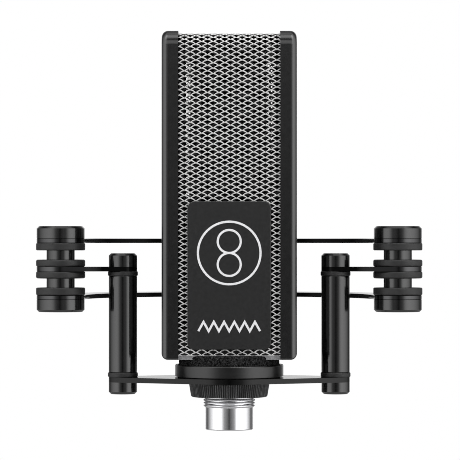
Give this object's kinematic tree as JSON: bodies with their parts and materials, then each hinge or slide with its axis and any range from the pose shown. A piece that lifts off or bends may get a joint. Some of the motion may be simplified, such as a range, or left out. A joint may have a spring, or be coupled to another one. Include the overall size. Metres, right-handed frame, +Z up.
{
  "type": "ribbon microphone",
  "caption": "Side-address ribbon microphone with a wrapped metal grille, held by a ring nut in a spool-type shock mount with a tilting stand adapter.",
  "frame": {"origin": "mouth of the stand thread, on its axis", "axes": "+Z up along the microphone, -Y towards the microphone's front, +X to the right seen from the front"},
  "size_m": [0.1526, 0.1283, 0.1566],
  "materials": {
    "rail_black": "satin black powder coat",
    "black_screw": "black oxide",
    "grille_nickel": "bright nickel plate",
    "screen_steel": "fine woven wire",
    "base_silver": "fine blasted",
    "chassis_aluminium": "milled",
    "badge_black": "satin black enamel",
    "emblem_silver": "satin silver inlay",
    "magnet_nickel": "nickel plated magnet",
    "pole_steel": "ground steel",
    "screw_steel": "zinc plated",
    "ribbon_foil": "bright foil",
    "clamp_brass": "machined brass",
    "insulator_fibre": "fibre board",
    "core_iron": "laminated steel",
    "coil_copper": "enamelled copper winding",
    "board_green": "solder mask",
    "capacitor_red": "moulded",
    "component_black": "moulded epoxy",
    "lead_insulation": "wire insulation",
    "connector_chrome": "polished nickel",
    "insert_black": "moulded",
    "pin_silver": "silver plated",
    "foam_black": "open-cell foam",
    "nut_black": "matte black anodised, knurled",
    "mount_black": "satin black anodised",
    "rubber_black": "matte rubber",
    "bush_brass": "machined brass",
    "washer_fibre": "fibre washer",
    "knob_black": "moulded grip"
  },
  "bodies": {
    "stand_adapter": {"stand_socket": "mount_black", "thread_bush": "bush_brass", "tilt_bolt": "screw_steel", "tilt_washers": "washer_fibre"},
    "clamp_knob": {"clamp_knob": "knob_black"},
    "yoke": {"upper_frame_plate": "mount_black", "lower_frame_plate": "mount_black", "spool_caps": "mount_black", "spool_spacers": "mount_black", "outer_rubber_rings": "rubber_black", "upper_damping_rings": "rubber_black", "lower_damping_rings": "rubber_black", "spool_bolts": "screw_steel", "swivel_block": "mount_black", "swivel_screws": "black_screw"},
    "cradle": {"cradle_bar": "mount_black", "base_ring": "mount_black", "post_tube_left": "mount_black", "post_tube_right": "mount_black", "post_top_caps": "mount_black", "post_bottom_caps": "mount_black", "post_washers": "rubber_black", "post_studs": "screw_steel", "link_arm_left": "mount_black", "link_arm_right": "mount_black"},
    "microphone": {"side_rail_left": "rail_black", "side_rail_right": "rail_black", "rail_screws": "black_screw", "outer_grille": "grille_nickel", "inner_screen": "screen_steel", "base_block": "base_silver", "top_crossbar": "chassis_aluminium", "badge_plate": "badge_black", "badge_emblem": "emblem_silver", "chassis_plate": "chassis_aluminium", "magnet_left": "magnet_nickel", "magnet_right": "magnet_nickel", "pole_piece_left": "pole_steel", "pole_piece_right": "pole_steel", "motor_screws": "screw_steel", "ribbon": "ribbon_foil", "ribbon_clamps": "clamp_brass", "clamp_insulators": "insulator_fibre", "clamp_screws": "screw_steel", "transformer_core": "core_iron", "transformer_coil": "coil_copper", "transformer_bracket": "screw_steel", "circuit_board": "board_green", "board_standoffs": "clamp_brass", "capacitors": "capacitor_red", "transistors": "component_black", "internal_leads": "lead_insulation", "xlr_shell": "connector_chrome", "xlr_insert": "insert_black", "xlr_pins": "pin_silver", "foam_pad": "foam_black"},
    "ring_nut": {"ring_nut": "nut_black"}
  },
  "joints": [
    {"name": "tilt", "type": "hinge", "parent": "stand_adapter", "child": "yoke", "pos_m": [0, 0, 0.045], "axis": [1, 0, 0], "range_deg": [-90, 25]},
    {"name": "knob_turn", "type": "hinge", "parent": "stand_adapter", "child": "clamp_knob", "pos_m": [0.012, 0, 0.045], "axis": [1, 0, 0], "range_deg": [-180, 180]},
    {"name": "suspension", "type": "slide", "parent": "yoke", "child": "cradle", "axis": [0, 0, 1], "range_m": [-0.001, 0.001], "stiffness_N_per_m": 8000, "springref_m": 0.00112, "deforming": ["upper_damping_rings", "lower_damping_rings"]},
    {"name": "mic_turn", "type": "hinge", "parent": "cradle", "child": "microphone", "pos_m": [0, -0.095, 0], "axis": [0, 0, 1], "continuous": true},
    {"name": "ring_nut_turn", "type": "hinge", "parent": "microphone", "child": "ring_nut", "pos_m": [0, -0.095, 0], "axis": [0, 0, 1], "continuous": true}
  ]
}
